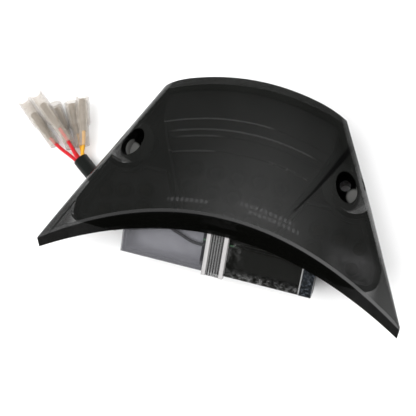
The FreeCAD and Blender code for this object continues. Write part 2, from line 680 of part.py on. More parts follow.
def bundle_axes():
    """Direction of the sheath's last run and the sideways unit vector."""
    before, mouth = (vec(*SHEATH_ROUTE[n]) for n in (-2, -1))
    along = mouth - before
    along.normalize()
    return before, mouth, along, along.cross(UP)


def lead_route(lead):
    """Points of one lead wire, from inside the sheath into its sleeve."""
    angle, reach = lead[1], lead[4]
    before, mouth, along, aside = bundle_axes()
    start = before + along * WIRE_START
    tail, axis, _ = sleeve_axis(lead)

    def spoke(degrees):
        turn = math.radians(degrees)
        return (aside * math.cos(turn) + UP * math.sin(turn)) * WIRE_RING_R

    return [start + spoke(angle + WIRE_LAY), (start + mouth) * 0.5 + spoke(angle),
            mouth + spoke(angle), tail + axis * TAIL_PLAY, tail + axis * reach]


def sleeve_axis(lead):
    """Where the sleeve's tail is, the unit vector to its head, and its length."""
    tail, head = (vec(*point) for point in lead[2:4])
    axis = head - tail
    length = axis.Length
    axis.normalize()
    return tail, axis, length


def turned(profile, start, axis):
    """Solid turned from (distance along the axis, radius) points about the axis from start."""
    points = [vec(radius, 0, along) for along, radius in profile]
    face = Part.Face(Part.makePolygon(points + points[:1]))
    solid = face.revolve(vec(0, 0, 0), UP, 360)
    solid.Placement = FreeCAD.Placement(start, FreeCAD.Rotation(UP, axis))
    return solid


def sleeve(lead):
    start, axis, length = sleeve_axis(lead)
    step = SLEEVE_STEP * length
    wide = (SLEEVE_STEP + SLEEVE_CONE) * length
    edge = SLEEVE_TAIL_R - SLEEVE_BORE_R
    profile = [(0, SLEEVE_BORE_R), (0, SLEEVE_TAIL_R - edge / 3), (edge / 3, SLEEVE_TAIL_R),
               (step, SLEEVE_TAIL_R), (wide, SLEEVE_HEAD_R), (length - edge / 2, SLEEVE_HEAD_R),
               (length, SLEEVE_HEAD_R - edge / 2), (length, SLEEVE_CHAMBER_R),
               (wide, SLEEVE_CHAMBER_R), (step, SLEEVE_BORE_R + CLEAR)]
    return turned(profile, start, axis)


def terminal(lead):
    """Bullet receptacle: a crimp over the wire's end, then an open barrel with a rolled mouth."""
    start, axis, _ = sleeve_axis(lead)
    reach = lead[4]
    barrel = reach + CRIMP_LENGTH - TERMINAL_GRIP
    end = barrel + BARREL_LENGTH
    profile = [(reach - TERMINAL_GRIP, WIRE_R + FIT), (reach - TERMINAL_GRIP, CRIMP_R),
               (barrel - 1.5, CRIMP_R), (barrel, BARREL_R), (end - 0.8, BARREL_R),
               (end, BARREL_R - 0.2), (end, BARREL_BORE_R), (barrel + 0.5, BARREL_BORE_R),
               (reach + 0.3, WIRE_R * 0.6), (reach + FIT, WIRE_R + FIT)]
    return turned(profile, start, axis)


def show_sizes(nodes):
    for name in sorted(nodes):
        solids = nodes[name]
        volume = sum(solid.Volume for solid in solids)
        print(f"{name}: {len(solids)} solids, {volume:.0f} mm3")


def export(nodes):
    os.makedirs("parts", exist_ok=True)
    for name, solids in nodes.items():
        moved = [solid.translated(vec(0, -MIDDLE_Y, 0)) for solid in solids]
        shape = moved[0] if len(moved) == 1 else Part.makeCompound(moved)
        shape.exportStep(os.path.join("parts", name + ".step"))


def lamp_nodes():
    sides = (("left", -1), ("right", 1))
    spots = [(side * x, y) for side in (-1, 1) for x, y in POSTS]
    board_top = BOARD_Z + BOARD_T
    tail_board = drilled(tail_region(BOARD_GAP, BOARD_Z, board_top), spots)
    nodes = {
        "smoked_lens": [smoked_lens()],
        "lens_gasket": lens_gasket(),
        "housing": [housing()],
        "plate_window": [plate_window()],
        "plate_reflector": [plate_reflector()],
        "plate_lamp_board": [plate_board()],
        "plate_leds": [plate_led(x) for x in (-PLATE_LED_X, PLATE_LED_X)],
        "plate_lamp_wire": [cord("plate_lamp_wire", PLATE_WIRE_ROUTE, PLATE_WIRE_R)[0]],
        "tail_reflector": [tail_reflector()],
        "tail_board": [tail_board],
        "tail_leds": [led(x, y, board_top) for x, y in tail_spots()],
        "board_resistors": row_of_parts(RESISTOR_COUNT, RESISTOR_Y, RESISTOR_R, RESISTOR_LENGTH),
        "board_diodes": row_of_parts(DIODE_COUNT, DIODE_Y, DIODE_R, DIODE_LENGTH),
        "board_screws": [board_screw(x, y) for x, y in spots],
        "mounting_dampers": [damper(side) for _, side in sides],
        "mounting_collars": [collar(side) for _, side in sides],
    }
    for word, side in sides:
        board = drilled(signal_region(side, BOARD_GAP, BOARD_Z, board_top), spots)
        nodes["signal_reflector_" + word] = [signal_reflector(side)]
        nodes["signal_board_" + word] = [board]
        nodes["signal_leds_" + word] = [led(side * x, y, board_top) for x, y in SIGNAL_LEDS]
    return nodes


def lead_nodes():
    nodes = {
        "cable_grommet": [cable_grommet()],
        "inner_leads": [inner_lead(lead[1]) for lead in LEADS],
        "cable_sheath": [cable_sheath()],
    }
    for lead in LEADS:
        nodes["wire_" + lead[0]] = [cord("wire_" + lead[0], lead_route(lead), WIRE_R)[0]]
        nodes["terminal_" + lead[0]] = [terminal(lead)]
        nodes["sleeve_" + lead[0]] = [sleeve(lead)]
    return nodes


if __name__ == "__main__":
    all_nodes = lamp_nodes()
    all_nodes.update(lead_nodes())
    show_sizes(all_nodes)
    export(all_nodes)
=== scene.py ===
"""Looks of the smoked motorcycle tail light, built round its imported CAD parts."""

import json
import math

import bpy
from mathutils import Matrix, Vector


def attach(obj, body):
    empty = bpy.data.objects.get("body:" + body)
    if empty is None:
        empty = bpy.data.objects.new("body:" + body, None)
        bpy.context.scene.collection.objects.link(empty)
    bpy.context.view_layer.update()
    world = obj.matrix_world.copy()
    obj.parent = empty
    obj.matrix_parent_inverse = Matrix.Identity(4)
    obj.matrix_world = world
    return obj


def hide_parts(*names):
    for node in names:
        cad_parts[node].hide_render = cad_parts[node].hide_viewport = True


MM = 0.001
UP = Vector((0, 0, 1))

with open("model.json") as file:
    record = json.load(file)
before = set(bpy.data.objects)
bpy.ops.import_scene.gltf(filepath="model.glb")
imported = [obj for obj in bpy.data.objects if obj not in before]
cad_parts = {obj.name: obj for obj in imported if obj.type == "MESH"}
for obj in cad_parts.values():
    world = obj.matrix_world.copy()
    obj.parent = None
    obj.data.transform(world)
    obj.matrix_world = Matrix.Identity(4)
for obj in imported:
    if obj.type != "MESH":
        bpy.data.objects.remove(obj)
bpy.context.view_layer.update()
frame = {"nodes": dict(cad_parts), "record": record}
scene = bpy.context.scene
nodes = frame["nodes"]

# ---- lead: places in millimetres in the CAD frame ------------------------------------------------
SHEATH_WIDTH = 8.4
SHEATH_LENGTH = 54.2
SHEATH_ROUTE = (
    (-40.5, -17.95, 7.1), (-54.1, -17.95, 7.1), (-67.4, -15.55, 5.1),
    (-79.4, -9.25, 4.25), (-90.2, -1.15, 4.25),
)
WIRE_WIDTH = 1.9
WIRE_RING_R = 2.0
WIRE_START = 1.0      # the wires begin this far past the sheath's last point but one
WIRE_LAY = 25.0       # degrees that the bundle twists on the way to the mouth
TAIL_PLAY = 1.5       # the wires have turned into their sleeves this far inside the tails

# Each wire: name, place in the bundle in degrees, the tail and head of its connector sleeve, how
# deep it reaches into the sleeve, and its length.
LEADS = (
    ("red_1", 190.0, (-107.3, 3.35, 3.4), (-132.0, 24.15, 4.7), 9.0, 38.4),
    ("red_2", 120.0, (-96.1, 5.95, 11.3), (-123.0, 27.95, 10.5), 13.6, 36.4),
    ("red_3", 250.0, (-97.6, 3.75, 3.4), (-114.1, 25.95, 3.7), 10.8, 32.2),
    ("yellow_1", 320.0, (-92.4, 6.05, 3.4), (-104.7, 28.75, 3.7), 11.0, 30.2),
    ("yellow_2", 55.0, (-88.6, 6.15, 7.7), (-96.7, 31.85, 8.4), 12.2, 30.7),
)

# ---- places that the finishes follow, in metres --------------------------------------------------
# A pair is where a gradual change starts and ends, or the two ends of an extent. A SOFT value is
# half the width of an edge's blur.

# The lens's wells, with light getting down to the same place on both sides, as a painted spot of light
# on the wells' walls.
WELL_MIDDLE = Vector((0.0532, 0.01025))
WELL_REACH = 0.0086
WELL_RIM = (0.0105, 0.0135)     # distances from a well's middle
CROWN_LOW = 0.027               # the lens's crown is above this near the wells
LIT_SPOT_MIDDLE = (0.0572, 0.0085, 0.0215)
LIT_SPOT_EDGE = (0.0040, 0.0052)    # distances from the painted light spot's middle

# The skirt along the lens's front edge, and the narrow land above it, which carries a painted highlight.
SKIRT_FACING = -0.55            # the skirt's faces look forwards at least this much
SKIRT_FADES = (0.055, 0.088)    # out to the sides
LAND_FACING = -0.2
LAND_BRIGHTENS = (-0.03, 0.06)  # the painted highlight brightens from left to right
LAND_EDGE = (-0.01735, -0.01695)
FRONT_BEND = 3.753              # the front edge runs forwards by this times x squared

# The lens's rim. Its sides start this far in front of the origin and close in with this slope.
SIDE_FOOT = 0.04595
SIDE_SLOPE = 0.4794
RIM_SIDE = (0.079, 0.084)       # how far out lines along the sides are at the foot
TIP_OUT = (0.072, 0.078)
RIM_BACK = (0.014, 0.024)
NARROW_END = (0.043, 0.046)     # on the middle line, curved like the terraces

# The light stop under the lens's right half: x = FOLD_X + slope * y - bend * y squared.
FOLD_X = 0.0362
FOLD_SLOPE = 0.60
FOLD_BEND = 3.0
FOLD_Y = (-0.0065, 0.031)
FOLD_Y_SOFT = 0.002
FOLD_WIDENS = (-0.006, 0.028)
FOLD_HALF_WIDTHS = (0.0007, 0.0022)
FOLD_EDGE = (0.4, 1.0)          # in half widths

# Rows of small dashes moulded in the lens, curved like its front edge: place on the middle line,
# left end and right end.
MARK_ROWS = ((-0.0080, 0.006, 0.034), (-0.0106, 0.012, 0.037), (-0.0108, -0.028, -0.008))
MARK_HALF_HEIGHT = 0.0009
MARK_SOFT = 0.0003
MARK_END_SOFT = 0.0004
MARK_PITCH = 0.0024

# Painted reflections towards the lens's right tip: a soft one on the lens and a brighter one in the tray
# below.
REFLECTION_X = (0.052, 0.074)
REFLECTION_X_SOFT = 0.004
REFLECTION_BACK = (-0.024, -0.012)
TRAY_REFLECTION_X = (0.050, 0.070)
TRAY_REFLECTION_BACK = (-0.024, -0.010)

# The terraces' edges run forwards by TERRACE_BEND times x squared. A painted glint is on an edge's place
# on the middle line, from a left to a right end, with its strength.
TERRACE_BEND = 4.433
TERRACE_GLINTS = ((0.03235, -0.049, 0.012, 1.0), (0.02705, -0.037, 0.034, 1.0),
                  (0.02405, -0.034, -0.013, 0.8), (0.01655, -0.038, -0.015, 0.7))
GLINT_FROM_EDGE = (-0.0002, 0.0004)
GLINT_SOFT = 0.00008
GLINT_END_SOFT = 0.004
# Painted glints in flecks along one more terrace edge.
FLECK_GLINTS_Y = (0.0160, 0.0172)
FLECK_GLINTS_X = (0.012, 0.034)
FLECK_GLINTS_X_SOFT = 0.001

# The plate-light window, from its middle outwards.
WINDOW_MIDDLE = -0.0014
WINDOW_LEFT = -0.0506
WINDOW_FRONT = -0.0435
BAR_X = 0.0045
BAR_WIDTH = 0.002
OVER_BARS_X = (WINDOW_MIDDLE - 2 * BAR_X, WINDOW_MIDDLE + 2 * BAR_X)
OVER_BARS_SOFT = 0.001
LEFT_PANEL = (-0.0062, -0.0054)
STRIP_X = (0.0420, 0.06)
STRIP_EDGE = 0.0006
FROST_FRONT = 0.006
FROST_LEFT = 0.007
SMEAR_X = (0.002, 0.012)
SMEAR_SOFT = 0.004
FLUTE_SCALE = 236.0
SHARP = 0.0001                  # for an edge that looks sharp

# How opaque the lens and the window are. The rim's and the tips' shares add to the crown's.
CROWN_ALPHA = 0.62
RIM_ALPHA = 0.07
TIP_ALPHA = 0.12
UPPER_ALPHA = 0.88
WELL_ALPHA = 0.8
FOLD_ALPHA = 0.9
LAND_ALPHA = 0.88
SKIRT_ALPHA = 0.97
SKIRT_ALPHA_OVER_BARS = 0.8
WINDOW_ALPHA = 0.09
WINDOW_TOP_ALPHA = 0.97


def grey(highlight_tone):
    return (highlight_tone, highlight_tone, highlight_tone)


# ---- shader building -----------------------------------------------------------------------------
class Graph:
    """A material's nodes, added and joined in one line each."""

    def __init__(self, name):
        self.material = bpy.data.materials.new(name)
        self.material.use_nodes = True
        self.tree = self.material.node_tree
        self.shader = self.tree.nodes["Principled BSDF"]
        self.place = self.tree.nodes.new("ShaderNodeTexCoord").outputs["Object"]

    def add(self, kind, **inputs):
        node = self.tree.nodes.new("ShaderNode" + kind)
        for key, value in inputs.items():
            self.feed(node, key, value)
        return node

    def feed(self, node, key, value):
        """Gives a node's input a value, or joins it to an output. A key such as _2 is a number."""
        socket = node.inputs[int(key[1:]) if key.startswith("_") else key.replace("_", " ")]
        if isinstance(value, bpy.types.NodeSocket):
            self.tree.links.new(value, socket)
        elif isinstance(value, tuple) and len(value) == 3 and socket.type == "RGBA":
            socket.default_value = (*value, 1.0)
        else:
            socket.default_value = value

    def set(self, **inputs):
        for key, value in inputs.items():
            self.feed(self.shader, key, value)

    def math(self, operation, a, b=0.0):
        node = self.add("Math", _0=a, _1=b)
        node.operation = operation
        return node.outputs[0]

    def times(self, a, b):
        return self.math("MULTIPLY", a, b)

    def plus(self, a, b):
        return self.math("ADD", a, b)

    def most(self, a, b):
        return self.math("MAXIMUM", a, b)

    def axes(self):
        """The place's x, y and z."""
        return tuple(self.add("SeparateXYZ", Vector=self.place).outputs)

    def distance(self, point, x, y, z=0.0):
        """Metres from a fixed point to the place with these coordinates."""
        node = self.add("VectorMath", _0=self.add("CombineXYZ", X=x, Y=y, Z=z).outputs[0], _1=point)
        node.operation = "DISTANCE"
        return node.outputs["Value"]

    def noise(self, scale, detail=2.0, stretch=(1, 1, 1), rough=0.5):
        """Noise from 0 to 1; scale is in features for each metre."""
        place = self.add("Mapping", Vector=self.place, Scale=stretch).outputs[0]
        return self.add("TexNoise", Vector=place, Scale=scale, Detail=detail, Roughness=rough).outputs[0]

    def specks(self, scale, size):
        """1 inside small round specks spread over the surface."""
        cells = self.add("TexVoronoi", Vector=self.place, Scale=scale).outputs["Distance"]
        return self.math("LESS_THAN", cells, size)

    def span(self, value, low, high, out_low=0.0, out_high=1.0):
        """Carries a value from the range low to high over to another range, with soft ends."""
        node = self.add("MapRange", _0=value, _1=low, _2=high, _3=out_low, _4=out_high)
        node.interpolation_type = "SMOOTHSTEP"
        return node.outputs[0]

    def inside(self, value, low, high, soft):
        """1 where value lies between low and high, with soft ends."""
        rise = self.span(value, low - soft, low + soft)
        return self.times(rise, self.span(value, high - soft, high + soft, 1, 0))

    def arch(self, x, y, bend):
        """y carried along an arch to the middle line, for masks that follow a curved edge."""
        return self.plus(y, self.times(self.times(x, x), bend))

    def dashes(self, value, pitch, share=0.6):
        """1 on short dashes along value, which fill this share of the pitch."""
        return self.math("LESS_THAN", self.math("FRACT", self.math("DIVIDE", value, pitch)), share)

    def mix(self, share, a, b):
        node = self.tree.nodes.new("ShaderNodeMix")
        node.data_type = "RGBA"
        for key, value in (("_0", share), ("_6", a), ("_7", b)):
            self.feed(node, key, value)
        return node.outputs[2]

    def wear(self, noise, low, high, start=0.3):
        """Roughness that drifts between low and high with the noise."""
        self.set(Roughness=self.span(noise, start, 0.7, low, high))

    def bump(self, height, strength, depth):
        """Relief of the given depth in metres."""
        relief = self.add("Bump", Height=height, Strength=strength, Distance=depth)
        self.set(Normal=relief.outputs[0])


# ---- the lens's three finishes -------------------------------------------------------------------
def polish(g):
    """Nearly smooth moulded surface of the lens."""
    g.wear(g.noise(70, 4), low=0.05, high=0.12, start=0.35)
    g.bump(g.noise(250, 2), strength=0.15, depth=0.00002)


def fold_mask(g, x, y):
    """1 along the light stop's line, which widens backwards."""
    line = g.plus(FOLD_X, g.times(y, FOLD_SLOPE))
    line = g.math("SUBTRACT", line, g.times(g.times(y, y), FOLD_BEND))
    apart = g.math("ABSOLUTE", g.math("SUBTRACT", x, line))
    apart = g.math("DIVIDE", apart, g.span(y, *FOLD_WIDENS, *FOLD_HALF_WIDTHS))
    return g.times(g.span(apart, *FOLD_EDGE, 1, 0), g.inside(y, *FOLD_Y, FOLD_Y_SOFT))


def mark_mask(g, x, y):
    """1 on the rows of small dashes."""
    marks = 0.0
    front = g.arch(x, y, FRONT_BEND)
    for row, left, right in MARK_ROWS:
        height = g.inside(front, row - MARK_HALF_HEIGHT, row + MARK_HALF_HEIGHT, MARK_SOFT)
        marks = g.most(marks, g.times(height, g.inside(x, left, right, MARK_END_SOFT)))
    return g.times(marks, g.dashes(x, MARK_PITCH))


def smoke():
    """Smoked polycarbonate, darker where its rim passes the tub and over the right light stop, with a
    painted soft reflection towards its right tip.
    """
    g = Graph("smoke")
    x, y, _ = g.axes()
    out = g.math("ABSOLUTE", x)
    side = g.plus(out, g.times(g.plus(y, SIDE_FOOT), SIDE_SLOPE))
    tips = g.span(out, *TIP_OUT)
    rim = g.most(g.span(side, *RIM_SIDE), tips)
    upper = g.times(rim, g.span(y, *RIM_BACK))
    upper = g.most(upper, g.span(g.arch(x, y, TERRACE_BEND), *NARROW_END))
    fold = fold_mask(g, x, y)

    alpha = g.plus(CROWN_ALPHA, g.times(rim, RIM_ALPHA))
    alpha = g.plus(alpha, g.times(tips, TIP_ALPHA))
    alpha = g.most(alpha, g.times(upper, UPPER_ALPHA))
    from_well = g.distance((*WELL_MIDDLE, 0.0), out, y)
    alpha = g.most(alpha, g.span(from_well, *WELL_RIM, WELL_ALPHA, 0))
    g.set(Alpha=g.most(alpha, g.times(fold, FOLD_ALPHA)))

    haze = g.mix(g.noise(45, 3), (0.003, 0.0033, 0.0028), (0.010, 0.0105, 0.0095))
    # Painted reflection: a soft brighter patch towards the lens's right tip.
    reflection_and_cloud = g.times(g.inside(x, *REFLECTION_X, REFLECTION_X_SOFT), g.span(y, *REFLECTION_BACK, 1, 0))
    reflection_and_cloud = g.times(reflection_and_cloud, g.span(g.noise(65, 3), 0.38, 0.62))
    haze = g.mix(reflection_and_cloud, haze, grey(0.026))
    haze = g.mix(mark_mask(g, x, y), haze, grey(0.040))
    g.set(Base_Color=g.mix(fold, haze, grey(0.001)), IOR=1.5)
    dull = g.most(fold, g.times(upper, 0.75))
    g.set(Specular_IOR_Level=g.span(dull, 0, 1, 0.5, 0.14))
    polish(g)
    return g.material


def smoke_bright():
    """The lens's front land, with a painted highlight along its back part that brightens to the right.
    """
    g = Graph("smoke_bright")
    x, y, _ = g.axes()
    painted_glint = g.span(g.arch(x, y, FRONT_BEND), *LAND_EDGE)
    highlight_tone = g.mix(g.span(x, *LAND_BRIGHTENS), grey(0.030), grey(0.070))
    g.set(Base_Color=g.mix(painted_glint, grey(0.002), highlight_tone), IOR=1.5, Alpha=LAND_ALPHA)
    g.set(Specular_IOR_Level=g.span(painted_glint, 0, 1, 0.0, 0.5))
    polish(g)
    return g.material


def smoke_black():
    """The skirt, where the light runs along the plastic and none comes out, and the wells' walls,
    painted near-black as shade, with a painted spot of light in each well.
    """
    g = Graph("smoke_black")
    x, y, z = g.axes()
    out = g.math("ABSOLUTE", x)
    shade = g.mix(g.span(out, *SKIRT_FADES), (0.0018, 0.0019, 0.0016), (0.006, 0.006, 0.0055))
    # Painted light: a lit spot on the wells' walls, where light gets down a well.
    lit_spot = g.span(g.distance(LIT_SPOT_MIDDLE, out, y, z), *LIT_SPOT_EDGE, 1, 0)
    over_bars = g.inside(x, *OVER_BARS_X, OVER_BARS_SOFT)
    g.set(Base_Color=g.mix(lit_spot, shade, (0.30, 0.30, 0.29)), Specular_IOR_Level=0.0)
    g.set(Alpha=g.span(over_bars, 0, 1, SKIRT_ALPHA, SKIRT_ALPHA_OVER_BARS))
    g.wear(g.noise(160, 4), low=0.25, high=0.4, start=0.35)
    g.bump(g.noise(350, 2), strength=0.15, depth=0.00006)
    return g.material


# ---- housing, window and trays -------------------------------------------------------------------
def black_housing():
    g = Graph("black_housing")
    g.set(Base_Color=g.mix(g.noise(120, 5), (0.004, 0.0042, 0.0035), (0.010, 0.0105, 0.009)))
    g.set(Specular_IOR_Level=0.25)
    g.wear(g.noise(500, 3), low=0.32, high=0.5)
    g.bump(g.noise(4500, 3), strength=0.35, depth=0.00006)
    return g.material


def clear_window():
    """Frosted lilac on the left, white bars and flutes with painted light and shade in grey lines in the
    middle, clear on the right.
    """
    g = Graph("clear_window")
    x, y, _ = g.axes()
    out = g.math("SUBTRACT", x, WINDOW_MIDDLE)
    bar = g.inside(g.math("ABSOLUTE", out), BAR_X - BAR_WIDTH / 2, BAR_X + BAR_WIDTH / 2, SHARP)
    flutes = g.inside(out, -BAR_X, BAR_X, SHARP)
    left = g.span(out, *LEFT_PANEL, 1, 0)
    strip = g.inside(x, *STRIP_X, SHARP)
    strip_edge = g.inside(x, STRIP_X[0] - STRIP_EDGE, STRIP_X[0], SHARP)
    low_edge = g.span(y, WINDOW_FRONT, WINDOW_FRONT + FROST_FRONT, 1, 0)
    left_edge = g.span(x, WINDOW_LEFT, WINDOW_LEFT + FROST_LEFT, 1, 0)
    frost = g.times(left, g.most(low_edge, left_edge))
    near_bars = g.times(g.inside(x, *SMEAR_X, SMEAR_SOFT), 0.4)
    smear = g.times(g.span(g.noise(330, 6, rough=0.7), 0.46, 0.62), g.most(low_edge, near_bars))
    smear = g.times(smear, g.math("SUBTRACT", 1.0, left))
    dots = g.specks(1000, 0.33)
    # Painted light and shade: the flutes' ribs as alternating dark and light lines.
    flute_light_and_shade = g.span(g.add("TexWave", Vector=g.place, Scale=FLUTE_SCALE).outputs["Fac"], 0.35, 0.65)

    colour = g.mix(smear, (0.008, 0.0085, 0.007), grey(0.22))
    colour = g.mix(left, colour, g.mix(g.noise(70, 3), (0.13, 0.13, 0.145), (0.19, 0.19, 0.205)))
    colour = g.mix(flutes, colour, g.mix(flute_light_and_shade, grey(0.015), grey(0.24)))
    colour = g.mix(bar, colour, (0.42, 0.41, 0.41))
    colour = g.mix(strip, colour, g.mix(dots, (0.005, 0.007, 0.009), (0.10, 0.115, 0.14)))
    g.set(Base_Color=g.mix(strip_edge, colour, grey(0.35)), IOR=1.5)

    alpha = WINDOW_ALPHA
    for mask, share in ((smear, 0.4), (frost, 0.45), (flutes, 0.45), (bar, 0.75), (strip, 0.5),
                        (strip_edge, 0.6)):
        alpha = g.plus(alpha, g.times(mask, share))
    g.set(Alpha=g.math("MINIMUM", alpha, WINDOW_TOP_ALPHA))
    g.wear(g.noise(300, 3), low=0.10, high=0.25, start=0.35)
    g.bump(g.noise(420, 4), strength=0.4, depth=0.00015)
    return g.material


def tray(g, light, dark, bright):
    """Dark metallised tray, with the painted highlights and reflections of the light mask in the bright
    colour.
    """
    g.set(Base_Color=g.mix(light, dark, bright), Metallic=g.span(light, 0.1, 0.6, 0.3, 0.0))
    g.wear(g.noise(150, 4), low=0.3, high=0.5)


def tail_mirror():
    """Tray with painted glints along its terraces' edges and in a row of flecks."""
    g = Graph("tail_mirror")
    x, y, _ = g.axes()
    arch = g.arch(x, y, TERRACE_BEND)
    painted_glint = 0.0
    for edge, left, right, strength in TERRACE_GLINTS:
        line = g.inside(arch, *(edge + away for away in GLINT_FROM_EDGE), GLINT_SOFT)
        line = g.times(line, g.inside(x, left, right, GLINT_END_SOFT))
        painted_glint = g.most(painted_glint, g.times(line, strength))
    fleck_glints = g.times(g.inside(arch, *FLECK_GLINTS_Y, SHARP), g.inside(x, *FLECK_GLINTS_X, FLECK_GLINTS_X_SOFT))
    fleck_glints = g.times(fleck_glints, g.span(g.noise(1100, 2), 0.55, 0.62))
    dark = g.mix(g.noise(80, 4), grey(0.07), grey(0.14))
    tray(g, g.most(painted_glint, fleck_glints), dark, grey(0.95))
    return g.material


def signal_mirror():
    """Tray with a painted reflection towards the right lens tip."""
    g = Graph("signal_mirror")
    x, y, _ = g.axes()
    # Painted reflection: the tray is brighter towards the right lens tip.
    tip = g.times(g.span(x, *TRAY_REFLECTION_X), g.span(y, *TRAY_REFLECTION_BACK, 1, 0))
    reflection_and_cloud = g.times(tip, g.span(g.noise(75, 3), 0.35, 0.6, 0.2, 1.0))
    tray(g, reflection_and_cloud, grey(0.10), (0.95, 0.95, 0.97))
    return g.material


def light_sheet():
    g = Graph("light_sheet")
    g.set(Base_Color=g.mix(g.noise(90, 5), (0.14, 0.14, 0.155), (0.22, 0.22, 0.24)))
    g.wear(g.noise(200, 3), low=0.35, high=0.6)
    g.bump(g.noise(260, 4), strength=0.4, depth=0.0003)
    return g.material


# ---- boards, LEDs, metals, mouldings and sleeves -------------------------------------------------
def circuit_board():
    g = Graph("board")
    track = g.add("TexBrick", Vector=g.place, Scale=90.0, Mortar_Size=0.06, Color1=(0.012, 0.05, 0.022),
                  Color2=(0.010, 0.04, 0.018), Mortar=(0.03, 0.11, 0.045))
    g.set(Base_Color=track.outputs["Color"], Coat_Weight=0.3)
    g.wear(g.noise(300, 3), low=0.3, high=0.45)
    g.bump(track.outputs["Fac"], strength=0.3, depth=0.00004)
    return g.material


def led(name, colour, alpha):
    g = Graph(name)
    g.set(Base_Color=g.mix(g.noise(400, 2), colour, tuple(0.8 * c for c in colour)), IOR=1.6)
    g.set(Alpha=g.span(g.noise(250, 2), 0.2, 0.8, alpha - 0.08, alpha + 0.08))
    g.wear(g.noise(350, 2), low=0.06, high=0.14)
    return g.material


def metal(name, low, high, stretch, roughness):
    """Bare metal with a fine grain, stretched where it is brushed."""
    g = Graph(name)
    grain = g.noise(900, 4, stretch)
    g.set(Base_Color=g.mix(grain, low, high), Metallic=1.0)
    g.wear(grain, roughness, roughness + 0.18)
    g.bump(grain, strength=0.25, depth=0.00005)
    return g.material


def moulded(name, low, high, roughness, scale, depth):
    """Matte or satin plastic or rubber with a fine grain and a slight change of tone."""
    g = Graph(name)
    g.set(Base_Color=g.mix(g.noise(scale / 8, 4), low, high))
    g.wear(g.noise(scale, 3), roughness, roughness + 0.15)
    g.bump(g.noise(scale, 3), strength=0.4, depth=depth)
    return g.material


def milky():
    """Milky vinyl, clearer face on and cloudier at its outline."""
    g = Graph("milky")
    rim = g.span(g.add("LayerWeight", Blend=0.5).outputs["Facing"], 0.35, 0.9)
    g.set(Base_Color=g.mix(rim, (0.52, 0.46, 0.39), (0.36, 0.33, 0.31)), IOR=1.45)
    reflection_and_cloud = g.span(g.noise(160, 4), 0.3, 0.7, -0.05, 0.05)
    g.set(Alpha=g.plus(reflection_and_cloud, g.span(rim, 0, 1, 0.26, 0.62)))
    g.wear(g.noise(240, 3), low=0.16, high=0.3)
    g.bump(g.noise(300, 3), strength=0.3, depth=0.0002)
    return g.material


paints = {
    "smoke": smoke(),
    "smoke_black": smoke_black(),
    "smoke_bright": smoke_bright(),
    "black_housing": black_housing(),
    "clear_window": clear_window(),
    "tail_mirror": tail_mirror(),
    "signal_mirror": signal_mirror(),
    "light_sheet": light_sheet(),
    "board": circuit_board(),
    "led_clear": led("led_clear", (0.12, 0.12, 0.125), 0.6),
    "led_amber": led("led_amber", (0.13, 0.11, 0.09), 0.6),
    # The steel is painted far darker than bare steel, as painted shade for the collars down the wells;
    # the board's screws share it.
    "steel": metal("steel", grey(0.03), grey(0.07), (1, 1, 0.1), 0.25),
    "tinned": metal("tinned", (0.42, 0.40, 0.36), (0.62, 0.59, 0.54), (1, 1, 1), 0.3),
    "rubber": moulded("rubber", grey(0.010), grey(0.022), 0.55, 3000, 0.00008),
    "sheath": moulded("sheath", (0.002, 0.003, 0.0025), (0.005, 0.006, 0.005), 0.5, 2200, 0.00010),
    "red_wire": moulded("red_wire", (0.50, 0.006, 0.014), (0.62, 0.012, 0.022), 0.25, 2600, 0.00005),
    "yellow_wire": moulded("yellow_wire", (0.68, 0.32, 0.015), (0.78, 0.40, 0.03), 0.25, 2600, 0.00005),
    "black_wire": moulded("black_wire", grey(0.008), grey(0.02), 0.3, 2600, 0.00005),
    "milky": milky(),
    "component": moulded("component", (0.30, 0.22, 0.14), (0.45, 0.34, 0.22), 0.35, 1500, 0.00006),
}
OWN_PAINT = {"plate_reflector": "light_sheet", "tail_reflector": "tail_mirror",
             "signal_reflector_left": "signal_mirror", "signal_reflector_right": "signal_mirror"}


def paint_cad_nodes():
    """Puts each CAD node's finish on it."""
    for row in frame["record"]["subparts"]:
        name = row["node"]
        mesh = nodes[name].data
        mesh.materials.clear()
        mesh.materials.append(paints[OWN_PAINT.get(name, row["material_slot"])])


def in_well(middle):
    return (Vector((abs(middle.x), middle.y)) - WELL_MIDDLE).length < WELL_REACH


def paint_lens():
    """The lens's skirt is black, its wells' walls are painted black as shade, and its front land is
    brighter with a painted highlight.
    """
    mesh = nodes["smoked_lens"].data
    black = len(mesh.materials)
    bright = black + 1
    mesh.materials.append(paints["smoke_black"])
    mesh.materials.append(paints["smoke_bright"])
    for face in mesh.polygons:
        in_wall = abs(face.normal.z) < 0.5 or face.center.z < CROWN_LOW
        # The wells' walls get the near-black finish as painted shade.
        if (in_well(face.center) and in_wall) or face.normal.y < SKIRT_FACING:
            face.material_index = black
        elif face.normal.y < LAND_FACING and face.normal.z > 0:
            face.material_index = bright


paint_cad_nodes()
paint_lens()


# ---- lead ----------------------------------------------------------------------------------------
def free_cord(name, points, width, slot, **facts):
    """A round cord on one smooth curve along its route, which stands for the CAD solid."""
    data = bpy.data.curves.new(name, "CURVE")
    data.dimensions = "3D"
    data.bevel_depth = 0.5 * width * MM
    data.bevel_resolution = 6
    data.use_fill_caps = True
    spline = data.splines.new("NURBS")
    spline.points.add(len(points) - 1)
    for control, point in zip(spline.points, points):
        control.co = (*(Vector(point) * MM), 1.0)
    spline.order_u = 3
    spline.use_endpoint_u = True
    spline.resolution_u = 12
    piece = bpy.data.objects.new(name + "_cord", data)
    scene.collection.objects.link(piece)
    data.materials.append(paints[slot])
    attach(piece, "root")
    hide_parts(name)


